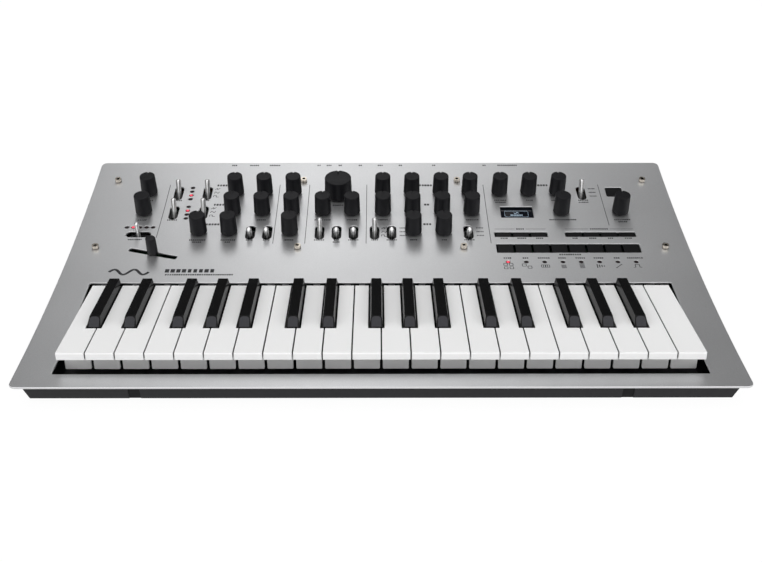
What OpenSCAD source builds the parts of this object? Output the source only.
// Slim-key analogue synthesizer: a long concave aluminium panel with knobs, toggle levers,
// push buttons and a 37-note keyboard, over a plastic tub with a wooden rear board.
// The origin is the centre of the footprint, on the ground: +X right, +Y rearwards, +Z up.
// Depths named "from the front" are measured along the ground from the panel's front edge.

/* [Top panel] */
// Width of the panel, left to right
panel_w = 500; // [496:1:510]
// Depth of the panel, front to rear, along the ground
panel_d = 296; // [294:1:300]
// Thickness of the panel's sheet
panel_t = 1.5; // [1.5:0.1:2.2]
// Radius of the panel's concave sweep, front to rear
panel_r = 1398; // [1350:1:1450]
// Slope of the panel at its front edge, in degrees
front_tilt = 4.2; // [4:0.1:4.5]
// Height of the panel's top face at its front edge
front_z = 22; // [21.5:0.1:23]
// Radius of the panel's two front corners
corner_front = 5; // [2:0.5:8]
// Radius of the panel's two rear corners
corner_rear = 4.5; // [3:0.5:10]

/* [Tub and rear board] */
// Height of the tub's underside above the ground
tub_z = 4.6; // [4:0.1:5]
// Thickness of the tub's walls and floor
tub_wall = 2.5; // [2:0.1:3]
// How far the tub's side walls sit in from the panel's edge
tub_side_inset = 3.9; // [3:0.1:9]
// How far the tub's front wall sits in from the panel's front edge
tub_front_inset = 9.2; // [9:0.1:10.5]
// How far the foot of the tub's walls draws in below its top
tub_draw = 4.8; // [3:0.1:5]
// Thickness of the wooden rear board
board_t = 6; // [5:0.5:6]
// How far the rear board's outer face sits in from the panel's rear edge
board_inset = 9; // [8:0.5:10]
// Diameter of a rubber foot
foot_d = 16; // [12:1:20]

/* [Keyboard] */
// Number of white keys
white_keys = 22; // [22]
// Distance from one white key to the next
key_pitch = 20.2; // [20:0.01:20.2]
// Gap between neighbouring keys
key_gap = 1; // [0.6:0.1:1.2]
// Height of the white keys' tops above the panel's front edge
key_rise = 14.5; // [14:0.1:15]
// White keys' front edge, from the front
key_front = 20.6; // [20:0.1:22]
// Front edge of the black keys, from the front
black_front = 57; // [55:0.5:60]
// Height of a black key above the white keys
black_rise = 6.2; // [6:0.1:7]
// Width of a black key at its base
black_base_w = 10; // [9.5:0.1:10]
// Width of a black key along its top
black_top_w = 7.4; // [7:0.1:8]
// Key pivot, from the front
pivot_depth = 142; // [141:0.5:143]
// Height of the key pivot above the ground
pivot_z = 24; // [23.5:0.1:24.5]
// Diameter of the steel rod that the keys turn on
rod_d = 4; // [3.5:0.1:4]
// Front edge of the panel's key opening, from the front
opening_front = 15.2; // [13:0.1:16]
// Rear edge of the panel's key opening, from the front
opening_rear = 127.6; // [126:0.1:128]
// Width of the panel's key opening
opening_w = 449; // [447:0.5:450]

/* [Controls] */
// Depth at which the flat control plane touches the curved panel, from the front
plane_depth = 222; // [220:1:224]
// Depth of the rear, middle and front rows of controls, from the front
row_depth = [252, 224.3, 196.4]; // [190:0.1:256]
// Distance from one knob to the next along a row
knob_pitch = 25; // [24:0.1:25.4]
// Base diameter of a small knob
knob_d = 13.9; // [13:0.1:16]
// Top diameter of a small knob
knob_top_d = 12.9; // [12:0.1:13.4]
// Height of a small knob above the panel
knob_h = 18; // [15:0.5:19]
// Base diameter of the large filter knob
big_knob_d = 23.6; // [22:0.1:24]
// Top diameter of the large filter knob
big_knob_top_d = 22.4; // [20:0.1:23]
// Height of the large filter knob above the panel
big_knob_h = 18; // [17:0.5:20]
// Diameter of a potentiometer's shaft
shaft_d = 6; // [5.5:0.1:6]
// Length of a toggle lever above its pivot
lever_len = 18; // [14:0.5:19]
// Lean of a toggle lever at the rear end of its travel, in degrees
lean_rear = 20; // [15:1:22]
// Lean of a toggle lever at the front end of its travel, in degrees
lean_front = 28; // [22:1:30]
// Width of a toggle lever's slot
slot_w = 7.6; // [7:0.1:8]
// Length of a toggle lever's slot
slot_len = 19.4; // [18.5:0.1:20]
// Distance from one push button to the next
button_pitch = 14.56; // [14:0.01:14.6]
// Diameter of an indicator lamp
lamp_d = 3.6; // [3:0.1:4]

/* [Sockets] */
// Height of the socket centres above the ground
socket_z = 34; // [30:1:40]
// Bore of the large audio sockets
jack_bore = 6.4; // [6.35:0.05:6.5]
// Bore of the small sync sockets
sync_bore = 3.6; // [3.5:0.05:3.7]

/* [Hidden] */

// Running clearance between a shaft and its bore, and the gap between fixed neighbours
run_gap = 0.05;
fit_gap = 0.2;
// Extra length that carries a cut clear of the face it starts from
cut = 1;
// Facets of the panel's long sweep and of ordinary round parts
sweep_fn = 360;
round_fn = 48;

// Centre of the panel's sweep in the side view
arc_y = -panel_d/2 - panel_r*sin(front_tilt);
arc_z = front_z + panel_r*cos(front_tilt);

function from_front(depth) = depth - panel_d/2;
function surface_z(y) = arc_z - sqrt(pow(panel_r, 2) - pow(y - arc_y, 2));
function surface_tilt(y) = asin((y - arc_y)/panel_r);

// The flat plane that carries the controls
plane_y = from_front(plane_depth);
plane_z = surface_z(plane_y);
plane_tilt = surface_tilt(plane_y);
function plane_v(depth) = (from_front(depth) - plane_y)/cos(plane_tilt);
// Height of the curved panel above the control plane
function panel_lift(depth) = panel_r - sqrt(pow(panel_r, 2) - pow(plane_v(depth), 2));

// Control board below the plane, and the pivot of the toggle levers
board_drop = 13;
pcb_t = 1.6;
pivot_drop = 5;

// Columns of controls, section by section, left to right
left_x = -200;
mix_x = left_x + 5*knob_pitch;
filter_x = -36.4;
env_x = 2;
delay_x = 103.1;
voice_x = 203;
filter_pair = 12.3;
lever_pair = 14;

// Every knob: its column and its row, where row 0 is the rear row
small_knobs = [
    [left_x, 0], [left_x, 1],
    [left_x + 3*knob_pitch, 0], [left_x + 4*knob_pitch, 0], [mix_x, 0],
    [left_x + 3*knob_pitch, 1], [left_x + 4*knob_pitch, 1], [mix_x, 1],
    [left_x + 2*knob_pitch, 2], [left_x + 3*knob_pitch, 2], [mix_x, 2],
    [filter_x - filter_pair, 1], [filter_x + filter_pair, 1],
    [env_x, 0], [env_x + knob_pitch, 0], [env_x + 2*knob_pitch, 0], [env_x + 3*knob_pitch, 0],
    [env_x, 1], [env_x + knob_pitch, 1], [env_x + 2*knob_pitch, 1], [env_x + 3*knob_pitch, 1],
    [env_x + knob_pitch, 2], [env_x + 2*knob_pitch, 2],
    [delay_x, 0], [delay_x + knob_pitch, 0], [delay_x + 2*knob_pitch, 0],
    [delay_x + 2*knob_pitch, 1], [voice_x, 1]
];
big_knob = [filter_x, 0];
big_knob_depth = 249.4;

// Toggle levers: columns in each row, split by the way they lean at rest
rear_toggles = [left_x + knob_pitch, left_x + 2*knob_pitch, 174.5];
middle_toggles = [left_x + knob_pitch, left_x + 2*knob_pitch];
front_up_toggles = [filter_x - lever_pair, env_x - 7];
front_down_toggles = [-107.5, -93.6, filter_x, filter_x + lever_pair, env_x + 7, 72.6];
octave_x = left_x + 0.5;
octave_depth = 194;
octave_slot_len = 20.4;
octave_slot_w = 7.8;
octave_len = 18;

// Slanting slot of the pitch lever
pitch_slot_ends = [[-203, 173.5], [-163, 162]];
pitch_mid = (pitch_slot_ends[0] + pitch_slot_ends[1])/2;
pitch_run = [
    pitch_slot_ends[1].x - pitch_slot_ends[0].x,
    plane_v(pitch_slot_ends[1].y) - plane_v(pitch_slot_ends[0].y)
];
pitch_turn = atan2(pitch_run.y, pitch_run.x);
pitch_slot_len = norm(pitch_run);
pitch_slot_w = 4.2;

// Push buttons: [left edge of the window, number, depth of its middle, window depth]
edit_row = [93.9, 3, 193.5, 6.9];
sequence_row = [152.1, 4, 193.5, 6.9];
mode_row = [93.8, 8, 174.5, 12.4];
hold_window = [203.3, 253.6, 14.6, 13.5];
button_h = 3.6;
button_travel = 0.8;

// Display window
display_mid = [115.6, 225.2];
display_size = [27.5, 16.2];

// Indicator lamps: two columns beside the octave switches, a row above the octave lever,
// and a row in front of the mode buttons
lamp_pitch = 5.45;
lamp_column_x = left_x + 1.45*knob_pitch;
lamp_spots = concat(
    [for (i = [-1.5:1.5]) [lamp_column_x, row_depth[0] + i*lamp_pitch]],
    [for (i = [-1.5:1.5]) [lamp_column_x, row_depth[1] + 0.4 + i*lamp_pitch]],
    [for (i = [-2:2]) [left_x + i*lamp_pitch, 204]],
    [for (i = [0:7]) [101.2 + i*button_pitch, 156.3]]
);

// Screws that hold the panel to the tub
screw_spots = [for (x = [-230.5, -67.3, 67.3, 230.5], depth = [175, 269]) [x, depth]];
screw_head_d = 5.5;
screw_head_h = 3;
screw_d = 3;
screw_len = 10;
hex_key = 2.5;
post_d = 10;

// Keyboard derived sizes
key_top = front_z + key_rise;
keys_left = -white_keys*key_pitch/2;
key_y = from_front(key_front);
key_rear_y = from_front(opening_rear) - 2.4;
pivot_y = from_front(pivot_depth);
lip_h = 5.5;
lip_len = 15.1;
slab_t = 2.8;
skirt_h = 21.5;
boss_w = 5;
boss_d = 9;
notch_gap = 0.8;
notes = 7;
// White keys in an octave that have a black key on their right, and its sideways offset
black_after = [0, 1, 3, 4, 5];
black_offset = [-2.4, 2.7, 0, -3.5, 0.2, 3.5];
function has_black(i) = i >= 0 && i < white_keys - 1 && len(search(i % notes, black_after)) > 0;
function black_x(i) = keys_left + (i + 1)*key_pitch + black_offset[i % notes];
half_notch = black_base_w/2 + notch_gap;
function tail_left(i) =
    has_black(i - 1) ? black_x(i - 1) + half_notch : keys_left + i*key_pitch;
function tail_right(i) =
    has_black(i) ? black_x(i) - half_notch : keys_left + (i + 1)*key_pitch;
function tail_x(i) = (tail_left(i) + tail_right(i))/2;

// Rear sockets, left to right as seen from the front
jack_x = [-130, -112, -94];
sync_x = [-55, -37];
din_x = [-18, 18];
usb_x = 48;
power_x = 93;
dc_x = 110;
board_y = panel_d/2 - board_inset;
board_inner_y = board_y - board_t;

// Colours
aluminium = [0.72, 0.73, 0.74];
dark_plastic = [0.17, 0.17, 0.18];
knob_black = [0.07, 0.07, 0.08];
steel = [0.78, 0.78, 0.8];
chrome = [0.88, 0.88, 0.9];
wood = [0.36, 0.22, 0.13];
rubber = [0.06, 0.06, 0.06];
board_green = [0.06, 0.25, 0.12];
key_white = [0.94, 0.94, 0.93];
key_black = [0.05, 0.05, 0.05];
lamp_red = [0.75, 0.1, 0.14];
glass_black = [0.02, 0.03, 0.05];

// ---- Shared shapes ----

// Points of an arc about c, from angle a0 to a1
function arc_points(c, r, a0, a1, n = 5) =
    [for (i = [0:n]) let (a = a0 + (a1 - a0)*i/n) c + r*[cos(a), sin(a)]];

// Rectangle centred on the origin, with r1 at its lower corners and r2 at its upper ones
function round_rect(w, d, r1, r2) = concat(
    arc_points([w/2 - r1, r1 - d/2], r1, -90, 0),
    arc_points([w/2 - r2, d/2 - r2], r2, 0, 90),
    arc_points([r2 - w/2, d/2 - r2], r2, 90, 180),
    arc_points([r1 - w/2, r1 - d/2], r1, 180, 270)
);

// Moves its children to a column and a depth on the control plane
module on_plane(x, depth) {
    translate([0, plane_y, plane_z])
        rotate([plane_tilt, 0, 0])
            translate([x, plane_v(depth), 0])
                children();
}

// Moves its children onto the curved panel, square to its surface
module on_panel(x, depth) {
    translate([x, from_front(depth), surface_z(from_front(depth))])
        rotate([surface_tilt(from_front(depth)), 0, 0])
            children();
}

// Long cylinder of the panel's sweep, with radius r
module sweep(r) {
    translate([-panel_w, arc_y, arc_z])
        rotate([0, 90, 0])
            cylinder(r = r, h = 2*panel_w, $fn = sweep_fn);
}

// Lies along +Y instead of +Z
module along_y() {
    rotate([-90, 0, 0]) children();
}

// Cylinder about the X axis, centred on it
module x_pin(d, len) {
    rotate([0, 90, 0]) cylinder(d = d, h = len, center = true, $fn = round_fn);
}

// ---- Top panel, tub and rear board ----

module button_window(row) {
    width = row[1]*button_pitch;
    on_plane(row[0] + width/2, row[2])
        translate([0, 0, -board_drop/2])
            linear_extrude(board_drop)
                polygon(round_rect(width, row[3], 0.8, 0.8));
}

module lever_slot(x, depth, w, len) {
    on_plane(x, depth)
        translate([0, 0, -pivot_drop])
            linear_extrude(2*pivot_drop)
                polygon(round_rect(w, len, min(w, len)/2 - 0.05, min(w, len)/2 - 0.05));
}

module top_panel() {
    color(aluminium)
    difference() {
        intersection() {
            linear_extrude(4*front_z)
                polygon(round_rect(panel_w, panel_d, corner_front, corner_rear));
            difference() {
                sweep(panel_r + panel_t);
                sweep(panel_r);
            }
        }
        translate([0, from_front((opening_front + opening_rear)/2), 0])
            linear_extrude(4*front_z)
                polygon(round_rect(opening_w, opening_rear - opening_front, 0.6, 1.2));
        for (k = small_knobs)
            on_plane(k[0], row_depth[k[1]])
                cylinder(d = shaft_d + 3, h = 2*board_drop, center = true, $fn = round_fn);
        on_plane(big_knob[0], big_knob_depth)
            cylinder(d = shaft_d + 3, h = 2*board_drop, center = true, $fn = round_fn);
        for (x = rear_toggles) lever_slot(x, row_depth[0], slot_w, slot_len);
        for (x = middle_toggles) lever_slot(x, row_depth[1], slot_w, slot_len);
        for (x = concat(front_up_toggles, front_down_toggles))
            lever_slot(x, row_depth[2], slot_w, slot_len);
        lever_slot(octave_x, octave_depth, octave_slot_len, octave_slot_w);
        on_plane(pitch_mid.x, pitch_mid.y)
            rotate([0, 0, pitch_turn])
                translate([0, 0, -board_drop/2])
                    linear_extrude(board_drop)
                        polygon(round_rect(pitch_slot_len, pitch_slot_w, 1.6, 1.6));
        button_window(edit_row);
        button_window(sequence_row);
        button_window(mode_row);
        on_plane(hold_window[0], hold_window[1])
            translate([0, 0, -board_drop/2])
                linear_extrude(board_drop)
                    polygon(round_rect(hold_window[2], hold_window[3], 1.5, 1.5));
        on_plane(display_mid.x, display_mid.y)
            translate([0, 0, -board_drop/2])
                linear_extrude(board_drop)
                    polygon(round_rect(display_size.x, display_size.y, 0.5, 0.5));
        for (s = lamp_spots)
            on_plane(s.x, s.y)
                cylinder(d = lamp_d + fit_gap, h = 2*pivot_drop, center = true, $fn = round_fn);
        for (s = screw_spots)
            on_panel(s.x, s.y)
                cylinder(d = screw_d + 2*fit_gap, h = 4*panel_t, center = true, $fn = round_fn);
    }
}

// Block with drawn-in front and sides, inset by the thickness t and extra deep at the rear
module tub_block(t, extra = 0) {
    draw_top = 20;
    half_w = panel_w/2 - tub_side_inset - t;
    front = from_front(tub_front_inset) + t;
    rear = board_inner_y - fit_gap + extra;
    intersection() {
        rotate([90, 0, 90])
            linear_extrude(panel_w, center = true)
                polygon([
                    [front + tub_draw, tub_z + t], [rear, tub_z + t], [rear, 4*front_z],
                    [front, 4*front_z], [front, draw_top]
                ]);
        rotate([90, 0, 0])
            linear_extrude(2*panel_d, center = true)
                polygon([
                    [-half_w + tub_draw, tub_z + t], [half_w - tub_draw, tub_z + t],
                    [half_w, draw_top], [half_w, 4*front_z],
                    [-half_w, 4*front_z], [-half_w, draw_top]
                ]);
    }
}

// Upright posts on the tub's floor, each centred under the middle of a panel screw
module screw_posts(d) {
    for (s = screw_spots)
        translate([
            s.x,
            from_front(s.y) + sin(surface_tilt(from_front(s.y)))*(screw_len + panel_t)/2,
            tub_z + tub_wall/2
        ])
            cylinder(d = d, h = 4*front_z, $fn = round_fn);
}

module bottom_tub() {
    mark_x = 169;
    mark_w = 8;
    mark_depth = 1.7;
    color(dark_plastic)
    difference() {
        union() {
            difference() {
                tub_block(0);
                tub_block(tub_wall, cut);
            }
            screw_posts(post_d);
        }
        sweep(panel_r + panel_t + fit_gap);
        for (s = screw_spots)
            on_panel(s.x, s.y)
                translate([0, 0, -screw_len - 2*panel_t])
                    cylinder(d = screw_d + 2*run_gap, h = screw_len + 4*panel_t, $fn = round_fn);
        for (side = [-1, 1])
            difference() {
                translate([side*mark_x - mark_w/2, -panel_d/2, tub_z - cut])
                    cube([mark_w, tub_front_inset + tub_draw + mark_depth, front_z]);
                tub_block(mark_depth, 2*cut);
            }
    }
}

module rear_board() {
    color(wood)
    difference() {
        translate([tub_side_inset - panel_w/2, board_inner_y, tub_z])
            cube([panel_w - 2*tub_side_inset, board_t, 4*front_z]);
        sweep(panel_r + panel_t + fit_gap);
        for (x = jack_x) board_hole(x, jack_bush_d);
        for (x = sync_x) board_hole(x, sync_bush_d);
        for (x = din_x) board_hole(x, din_d);
        board_hole(dc_x, dc_d);
        board_hole(power_x, power_d);
        translate([usb_x - usb_w/2 - fit_gap, board_inner_y - cut, socket_z - usb_h/2 - fit_gap])
            cube([usb_w + 2*fit_gap, board_t + 2*cut, usb_h + 2*fit_gap]);
    }
}

module board_hole(x, d) {
    translate([x, board_inner_y - cut, socket_z])
        along_y() cylinder(d = d + 2*fit_gap, h = board_t + 2*cut, $fn = round_fn);
}

module rubber_feet() {
    foot_x = 205;
    foot_y = 108;
    color(rubber)
    for (x = [-foot_x, foot_x], y = [-foot_y, foot_y])
        translate([x, y, 0])
            rotate_extrude($fn = round_fn)
                polygon([
                    [0, 0], [foot_d/2 - 1, 0], [foot_d/2, 1],
                    [foot_d/2, tub_z - fit_gap], [0, tub_z - fit_gap]
                ]);
}

// Socket-head screw, its head resting on z = 0 and its shank pointing down
module socket_screw() {
    difference() {
        union() {
            cylinder(d = screw_head_d, h = screw_head_h, $fn = round_fn);
            translate([0, 0, -screw_len])
                cylinder(d = screw_d, h = screw_len + cut, $fn = round_fn);
        }
        translate([0, 0, screw_head_h/2])
            cylinder(d = hex_key*2/sqrt(3), h = screw_head_h, $fn = 6);
    }
}

module socket_screws() {
    color(steel)
    for (s = screw_spots)
        on_panel(s.x, s.y)
            translate([0, 0, run_gap])
                socket_screw();
}

// ---- Boards, switches and lamps under the panel ----

control_board_front = 151;
control_board_rear = 264;
control_board_w = 436;
main_board_z = 13;
chip_h = 1.4;
switch_w = 6;
switch_h = 3.4;

module switch_row(row) {
    for (i = [0:row[1] - 1])
        on_plane(row[0] + (i + 0.5)*button_pitch, row[2])
            tact_switch();
}

module tact_switch() {
    translate([-switch_w/2, -switch_w/2, fit_gap - board_drop])
        cube([switch_w, switch_w, switch_h]);
}

module circuit_boards() {
    board_v = [plane_v(control_board_front), plane_v(control_board_rear)];
    main_size = [400, 92];
    main_front_y = 26;
    color(board_green) {
        difference() {
            on_plane(0, plane_depth)
                translate([-control_board_w/2, board_v[0], -board_drop - pcb_t])
                    cube([control_board_w, board_v[1] - board_v[0], pcb_t]);
            screw_posts(post_d + 2);
        }
        difference() {
            translate([-main_size.x/2, main_front_y, main_board_z])
                cube([main_size.x, main_size.y, pcb_t]);
            screw_posts(post_d + 2);
        }
        for (x = [-140:56:140])
            translate([x, main_front_y + 40, main_board_z + pcb_t + run_gap])
                cube([14, 14, chip_h]);
        switch_row(edit_row);
        switch_row(sequence_row);
        switch_row(mode_row);
        on_plane(hold_window[0], hold_window[1]) tact_switch();
    }
}

// Potentiometer standing on the control board, with a bushing round its shaft
module pot() {
    pot_w = 9.6;
    pot_d = 11;
    bushing_d = 7;
    body_top = -6.6;
    bushing_top = -2.9;
    difference() {
        union() {
            translate([-pot_w/2, -pot_d/2, fit_gap - board_drop])
                cube([pot_w, pot_d, body_top + board_drop - fit_gap]);
            translate([0, 0, body_top - cut])
                cylinder(d = bushing_d, h = bushing_top - body_top + cut, $fn = round_fn);
        }
        translate([0, 0, -board_drop + 0.8])
            cylinder(d = shaft_d + 2*run_gap, h = 2*board_drop, $fn = round_fn);
    }
}

// Sliding potentiometer under the pitch lever: a channel for the lever's carriage
carriage = [9, 5.6, 3];
carriage_top = -7;
slider_travel = 14;

module slide_pot() {
    wall = 1.2;
    lip = 1.2;
    inner = [carriage.x + 2*slider_travel + 1, carriage.y + fit_gap];
    difference() {
        translate([-inner.x/2 - wall, -inner.y/2 - wall, fit_gap - board_drop])
            cube([inner.x + 2*wall, inner.y + 2*wall, carriage_top + lip + board_drop]);
        translate([-inner.x/2, -inner.y/2, carriage_top - carriage.z - fit_gap])
            cube([inner.x, inner.y, carriage.z + 2*fit_gap]);
        translate([-inner.x/2, -1.6, carriage_top])
            cube([inner.x, 3.2, board_drop]);
    }
}

module potentiometers() {
    color(steel) {
        for (k = small_knobs)
            on_plane(k[0], row_depth[k[1]]) pot();
        on_plane(big_knob[0], big_knob_depth) pot();
        on_plane(pitch_mid.x, pitch_mid.y)
            rotate([0, 0, pitch_turn])
                slide_pot();
    }
}

pin_d = 2;
pin_len = 7;
lever_base_d = 3.8;
lever_tip_d = 4.4;

// Switch body under a lever: a box with a lengthwise slot and a cross bore for the pin
module switch_body() {
    size = [8, 13, board_drop - fit_gap - 3.1];
    lever_gap = 5;
    difference() {
        translate([-size.x/2, -size.y/2, fit_gap - board_drop]) cube(size);
        translate([-lever_gap/2, 1 - size.y/2, -pivot_drop - 2.6])
            cube([lever_gap, size.y - 2, board_drop]);
        translate([0, 0, -pivot_drop]) x_pin(pin_d + 2*run_gap, size.x + cut);
    }
}

module toggle_switch_bodies() {
    color(knob_black) {
        for (x = rear_toggles) on_plane(x, row_depth[0]) switch_body();
        for (x = middle_toggles) on_plane(x, row_depth[1]) switch_body();
        for (x = concat(front_up_toggles, front_down_toggles))
            on_plane(x, row_depth[2]) switch_body();
        on_plane(octave_x, octave_depth) rotate([0, 0, 90]) switch_body();
    }
}

module display_module() {
    glass = [31, 19, 1.5];
    glass_top = -2.6;
    post_d = 2.4;
    color(glass_black)
    on_plane(display_mid.x, display_mid.y) {
        translate([-glass.x/2, -glass.y/2, glass_top - glass.z]) cube(glass);
        for (x = [-1, 1], y = [-1, 1])
            translate([x*(glass.x/2 - 2), y*(glass.y/2 - 2), fit_gap - board_drop])
                cylinder(
                    d = post_d,
                    h = board_drop + glass_top - glass.z/2 - fit_gap,
                    $fn = round_fn
                );
    }
}

module indicator_lamps() {
    color(lamp_red)
    for (s = lamp_spots)
        on_plane(s.x, s.y)
            translate([0, 0, fit_gap - board_drop])
                cylinder(
                    d = lamp_d,
                    h = board_drop - fit_gap + panel_lift(s.y),
                    $fn = round_fn
                );
}

// ---- Rear sockets and power button ----

jack_bush_d = 9;
sync_bush_d = 6;
din_d = 15;
dc_d = 8;
power_d = 8;
usb_w = 12;
usb_h = 11;
socket_out = 2;

// Round socket: a box behind the board and a bush through it, bored from the rear
module round_socket(x, bush, bore, box, depth) {
    translate([x, board_inner_y - fit_gap, socket_z])
        along_y()
            difference() {
                union() {
                    translate([-box.x/2, -box.z/2, -box.y]) cube([box.x, box.z, box.y]);
                    translate([0, 0, -cut])
                        cylinder(d = bush, h = board_t + socket_out + cut, $fn = round_fn);
                }
                translate([0, 0, board_t + socket_out - depth])
                    cylinder(d = bore, h = depth + cut, $fn = round_fn);
            }
}

module rear_sockets() {
    din_depth = 9;
    din_pin_d = 1.5;
    din_pin_ring = 3.8;
    color(steel) {
        for (x = jack_x) round_socket(x, jack_bush_d, jack_bore, [15, 20, 14], 24);
        for (x = sync_x) round_socket(x, sync_bush_d, sync_bore, [10, 12, 10], 15);
        for (x = din_x) {
            round_socket(x, din_d, din_d - 2, [18, 14, 17], din_depth);
            for (a = [0:45:180])
                translate([
                    x + din_pin_ring*cos(a), board_y - din_depth + 1, socket_z + din_pin_ring*sin(a)
                ])
                    along_y() cylinder(d = din_pin_d, h = din_depth/2, $fn = round_fn);
        }
        round_socket(dc_x, dc_d, dc_d - 2, [11, 13, 12], 10);
        difference() {
            translate([usb_x - usb_w/2, board_inner_y - 10, socket_z - usb_h/2])
                cube([usb_w, board_t + 10, usb_h]);
            translate([usb_x - usb_w/2 + 1, board_inner_y, socket_z - usb_h/2 + 1])
                cube([usb_w - 2, board_t + cut, usb_h - 2]);
        }
    }
}

module power_button() {
    color(knob_black)
    translate([power_x, board_inner_y - 8, socket_z])
        along_y()
            cylinder(d = power_d - 2*run_gap, h = board_t + 8 + socket_out, $fn = round_fn);
}

// ---- Keyboard ----

module key_pivot_rod() {
    color(steel)
    translate([0, pivot_y, pivot_z])
        x_pin(rod_d, opening_w + 2);
}

// Chassis: a base sheet and the ribs that hold the rod between the octaves
module key_frame() {
    rib_t = 3.6;
    sheet_t = 1.2;
    sheet_z = tub_z + tub_wall + fit_gap;
    rib_top = pivot_z + rod_d/2 + 2;
    ribs = [0, 3, 7, 10, 14, 17, 21, 22];
    front_y = key_y + lip_len;
    color(steel)
    difference() {
        union() {
            translate([-opening_w/2, front_y, sheet_z])
                cube([opening_w, pivot_y + boss_d - front_y, sheet_t]);
            for (i = ribs)
                translate([keys_left + i*key_pitch - rib_t/2, pivot_y - boss_d/2, sheet_z])
                    cube([rib_t, boss_d, rib_top - sheet_z]);
        }
        translate([0, pivot_y, pivot_z])
            x_pin(rod_d + 2*run_gap, 2*opening_w);
    }
}

contact_z = 9.4;
contact_front = from_front(70);
contact_rear = from_front(112);
dome_h = 4.2;
white_post_depth = 80;
black_post_depth = 96;

module key_contact_board() {
    color(board_green)
    translate([keys_left, contact_front, contact_z])
        cube([-2*keys_left, contact_rear - contact_front, pcb_t]);
}

module contact_dome(x, depth) {
    translate([x, from_front(depth), contact_z + pcb_t + run_gap])
        cylinder(d1 = 8, d2 = 5, h = dome_h, $fn = round_fn);
}

module key_contact_domes() {
    color(rubber) {
        for (i = [0:white_keys - 1]) contact_dome(tail_x(i), white_post_depth);
        for (i = [0:white_keys - 1])
            if (has_black(i)) contact_dome(black_x(i), black_post_depth);
    }
}

// Arm from under a key back to its pivot, with the boss that turns on the rod
module key_arm(x, from_y) {
    arm_top = 31;
    arm_h = 8;
    translate([x - boss_w/2, from_y, arm_top - arm_h])
        cube([boss_w, pivot_y - from_y, arm_h]);
    translate([x, pivot_y, pivot_z]) x_pin(boss_d, boss_w);
}

// Post that presses a contact dome
module key_post(x, depth) {
    post_bottom = contact_z + pcb_t + dome_h + 4.4;
    translate([x - boss_w/2, from_front(depth) - boss_w/2, post_bottom])
        cube([boss_w, boss_w, key_top - slab_t/2 - post_bottom]);
}

module rod_bore(x) {
    translate([x, pivot_y, pivot_z]) x_pin(rod_d + 2*run_gap, boss_w + 2*cut);
}

module white_key(i) {
    left = keys_left + i*key_pitch + key_gap/2;
    width = key_pitch - key_gap;
    skirt_t = 2;
    skirt_w = width - 1;
    spine_h = 9;
    difference() {
        union() {
            translate([left, key_y, key_top - slab_t])
                cube([width, key_rear_y - key_y, slab_t]);
            translate([left, key_y, key_top - lip_h])
                cube([width, lip_len, lip_h]);
            translate([left + width/2, key_y + lip_len, key_top - skirt_h/2])
                along_y()
                    linear_extrude(skirt_t)
                        polygon(round_rect(skirt_w, skirt_h - run_gap, 0.4, 0.8));
            translate([tail_x(i) - boss_w/2, key_y + lip_len, key_top - spine_h])
                cube([boss_w, key_rear_y - key_y - lip_len, spine_h - slab_t/2]);
            key_arm(tail_x(i), from_front(110));
            key_post(tail_x(i), white_post_depth);
        }
        if (has_black(i - 1)) black_notch(i - 1);
        if (has_black(i)) black_notch(i);
        rod_bore(tail_x(i));
    }
}

// Room for a black key in the white keys beside it
module black_notch(i) {
    front_gap = 1;
    translate([
        black_x(i) - half_notch, from_front(black_front) - front_gap, key_top - slab_t - cut
    ])
        cube([2*half_notch, panel_d, slab_t + 2*cut]);
}

module black_key(i) {
    front_y = from_front(black_front);
    slant = 6.3;
    sunk = 4;
    top = key_top + black_rise;
    low = key_top - sunk;
    difference() {
        union() {
            translate([black_x(i), 0, 0])
                intersection() {
                    rotate([90, 0, 90])
                        linear_extrude(black_base_w + 2, center = true)
                            polygon([
                                [front_y, low], [key_rear_y, low], [key_rear_y, top],
                                [front_y + slant, top], [front_y, key_top]
                            ]);
                    rotate([90, 0, 0])
                        linear_extrude(2*panel_d, center = true)
                            polygon([
                                [-black_base_w/2, low], [black_base_w/2, low],
                                [black_base_w/2, key_top], [black_top_w/2, top],
                                [-black_top_w/2, top], [-black_base_w/2, key_top]
                            ]);
                }
            key_arm(black_x(i), from_front(110));
            translate([black_x(i) - boss_w/2, from_front(110), low - 4])
                cube([boss_w, key_rear_y - from_front(110), 5]);
            key_post(black_x(i), black_post_depth);
        }
        rod_bore(black_x(i));
    }
}

module white_octave(first, last) {
    for (i = [first:last]) white_key(i);
}

module black_octave(first) {
    for (i = [first:first + notes - 1])
        if (has_black(i)) black_key(i);
}

module white_keys_low() { color(key_white) white_octave(0, notes - 1); }
module white_keys_middle() { color(key_white) white_octave(notes, 2*notes - 1); }
module white_keys_high() { color(key_white) white_octave(2*notes, white_keys - 1); }
module black_keys_low() { color(key_black) black_octave(0); }
module black_keys_middle() { color(key_black) black_octave(notes); }
module black_keys_high() { color(key_black) black_octave(2*notes); }

// ---- Toggle levers and the pitch lever ----

// Lever on a cross pin, leaning towards the rear for a positive lean
module lever(len, lean, base_d, tip_d) {
    tip_r = tip_d/2;
    translate([0, 0, -pivot_drop])
        rotate([-lean, 0, 0]) {
            rotate_extrude($fn = round_fn)
                polygon(concat(
                    [[0, 0], [base_d/2, 0]],
                    arc_points([0, len - tip_r], tip_r, 0, 90)
                ));
            x_pin(pin_d, pin_len);
        }
}

module lever_row(columns, depth, lean) {
    for (x = columns)
        on_plane(x, depth) lever(lever_len, lean, lever_base_d, lever_tip_d);
}

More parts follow.
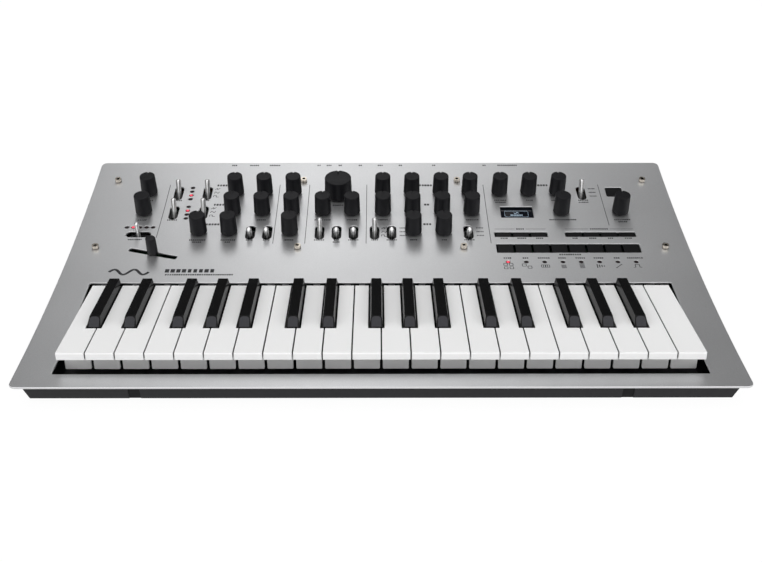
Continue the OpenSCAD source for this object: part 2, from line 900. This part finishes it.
module rear_row_toggles() { color(chrome) lever_row(rear_toggles, row_depth[0], lean_rear); }
module middle_row_toggles() { color(chrome) lever_row(middle_toggles, row_depth[1], lean_rear); }
module front_row_toggles_up() {
    color(chrome) lever_row(front_up_toggles, row_depth[2], lean_rear);
}
module front_row_toggles_down() {
    color(chrome) lever_row(front_down_toggles, row_depth[2], -lean_front);
}
module octave_lever() {
    octave_base_d = 3.4;
    octave_tip_d = 3.9;
    color(chrome)
    on_plane(octave_x, octave_depth)
        rotate([0, 0, 90])
            lever(octave_len, 0, octave_base_d, octave_tip_d);
}

module pitch_lever() {
    base_d = 9;
    top_d = 8.2;
    height = 16.6;
    neck_w = 2.4;
    lift = panel_lift(pitch_mid.y);
    color(knob_black)
    on_plane(pitch_mid.x, pitch_mid.y)
        rotate([0, 0, pitch_turn]) {
            translate([0, 0, lift + 1])
                rotate_extrude($fn = round_fn)
                    polygon(concat(
                        [[0, 0], [base_d/2 - 0.5, 0], [base_d/2, 0.5]],
                        arc_points([top_d/2 - 2, height - 3], 2, 0, 90),
                        [[0, height - 1]]
                    ));
            translate([-neck_w, -neck_w/2, carriage_top - cut])
                cube([2*neck_w, neck_w, lift + 2*cut + 1 - carriage_top]);
            translate([-carriage.x/2, -carriage.y/2, carriage_top - carriage.z])
                cube(carriage);
        }
}

// ---- Push buttons ----

// Cap filling one pitch of a window, with its plunger
module button(w, d, lift) {
    plunger_d = 3;
    plunger_bottom = switch_h + fit_gap - board_drop + button_travel + 0.1;
    top = lift - 0.3;
    translate([0, 0, top - button_h])
        linear_extrude(button_h)
            polygon(round_rect(w, d, 0.6, 0.6));
    translate([0, 0, plunger_bottom])
        cylinder(d = plunger_d, h = top - cut - plunger_bottom, $fn = round_fn);
}

module button_row(row) {
    side_gap = 0.9;
    edge_gap = 0.5;
    for (i = [0:row[1] - 1])
        on_plane(row[0] + (i + 0.5)*button_pitch, row[2])
            button(button_pitch - 2*side_gap, row[3] - 2*edge_gap, panel_lift(row[2]));
}

module hold_button() {
    edge_gap = 0.5;
    color(knob_black)
    on_plane(hold_window[0], hold_window[1])
        button(
            hold_window[2] - 2*edge_gap, hold_window[3] - 2*edge_gap,
            panel_lift(hold_window[1])
        );
}
module function_buttons() {
    color(knob_black) {
        button_row(edit_row);
        button_row(sequence_row);
    }
}
module mode_buttons() { color(knob_black) button_row(mode_row); }

// ---- Knobs ----

// Knob pressed on a potentiometer's shaft, turning together
module knob(base_d, top_d, h, lift) {
    gap = 0.9;
    edge = 0.7;
    foot = 0.8;
    notch_w = 1.6;
    notch_deep = 0.9;
    cap_t = 3;
    translate([0, 0, lift])
        difference() {
            rotate_extrude($fn = 2*round_fn)
                polygon([
                    [0, gap], [base_d/2 - foot, gap], [base_d/2, gap + foot],
                    [top_d/2, h - edge], [top_d/2 - edge, h], [0, h]
                ]);
            translate([0, 0, -cut])
                cylinder(d = shaft_d + 2*run_gap, h = h - cap_t + cut, $fn = round_fn);
            translate([-notch_w/2, top_d/2 - notch_deep, h - 4*notch_w])
                cube([notch_w, base_d, h]);
        }
    translate([0, 0, 1.2 - board_drop])
        cylinder(d = shaft_d, h = board_drop - 1.4 + lift + h - cap_t, $fn = round_fn);
}

module small_knob(i) {
    spot = small_knobs[i];
    depth = row_depth[spot[1]];
    color(knob_black)
    on_plane(spot[0], depth)
        knob(knob_d, knob_top_d, knob_h, panel_lift(depth));
}

module volume_knob() { small_knob(0); }
module tempo_knob() { small_knob(1); }
module osc_1_pitch_knob() { small_knob(2); }
module osc_1_shape_knob() { small_knob(3); }
module osc_1_level_knob() { small_knob(4); }
module osc_2_pitch_knob() { small_knob(5); }
module osc_2_shape_knob() { small_knob(6); }
module osc_2_level_knob() { small_knob(7); }
module cross_modulation_knob() { small_knob(8); }
module pitch_envelope_knob() { small_knob(9); }
module noise_level_knob() { small_knob(10); }
module filter_resonance_knob() { small_knob(11); }
module filter_envelope_knob() { small_knob(12); }
module amp_attack_knob() { small_knob(13); }
module amp_decay_knob() { small_knob(14); }
module amp_sustain_knob() { small_knob(15); }
module amp_release_knob() { small_knob(16); }
module mod_attack_knob() { small_knob(17); }
module mod_decay_knob() { small_knob(18); }
module mod_sustain_knob() { small_knob(19); }
module mod_release_knob() { small_knob(20); }
module lfo_rate_knob() { small_knob(21); }
module lfo_depth_knob() { small_knob(22); }
module delay_filter_knob() { small_knob(23); }
module delay_time_knob() { small_knob(24); }
module delay_feedback_knob() { small_knob(25); }
module program_knob() { small_knob(26); }
module voice_depth_knob() { small_knob(27); }
module filter_cutoff_knob() {
    color(knob_black)
    on_plane(big_knob[0], big_knob_depth)
        knob(big_knob_d, big_knob_top_d, big_knob_h, panel_lift(big_knob_depth));
}

top_panel();
bottom_tub();
rear_board();
rubber_feet();
socket_screws();
circuit_boards();
potentiometers();
toggle_switch_bodies();
display_module();
indicator_lamps();
rear_sockets();
key_frame();
key_pivot_rod();
key_contact_board();
key_contact_domes();
white_keys_low();
white_keys_middle();
white_keys_high();
black_keys_low();
black_keys_middle();
black_keys_high();
rear_row_toggles();
middle_row_toggles();
front_row_toggles_up();
front_row_toggles_down();
octave_lever();
pitch_lever();
hold_button();
function_buttons();
mode_buttons();
power_button();
volume_knob();
tempo_knob();
osc_1_pitch_knob();
osc_1_shape_knob();
osc_1_level_knob();
osc_2_pitch_knob();
osc_2_shape_knob();
osc_2_level_knob();
cross_modulation_knob();
pitch_envelope_knob();
noise_level_knob();
filter_cutoff_knob();
filter_resonance_knob();
filter_envelope_knob();
amp_attack_knob();
amp_decay_knob();
amp_sustain_knob();
amp_release_knob();
mod_attack_knob();
mod_decay_knob();
mod_sustain_knob();
mod_release_knob();
lfo_rate_knob();
lfo_depth_knob();
delay_filter_knob();
delay_time_knob();
delay_feedback_knob();
program_knob();
voice_depth_knob();
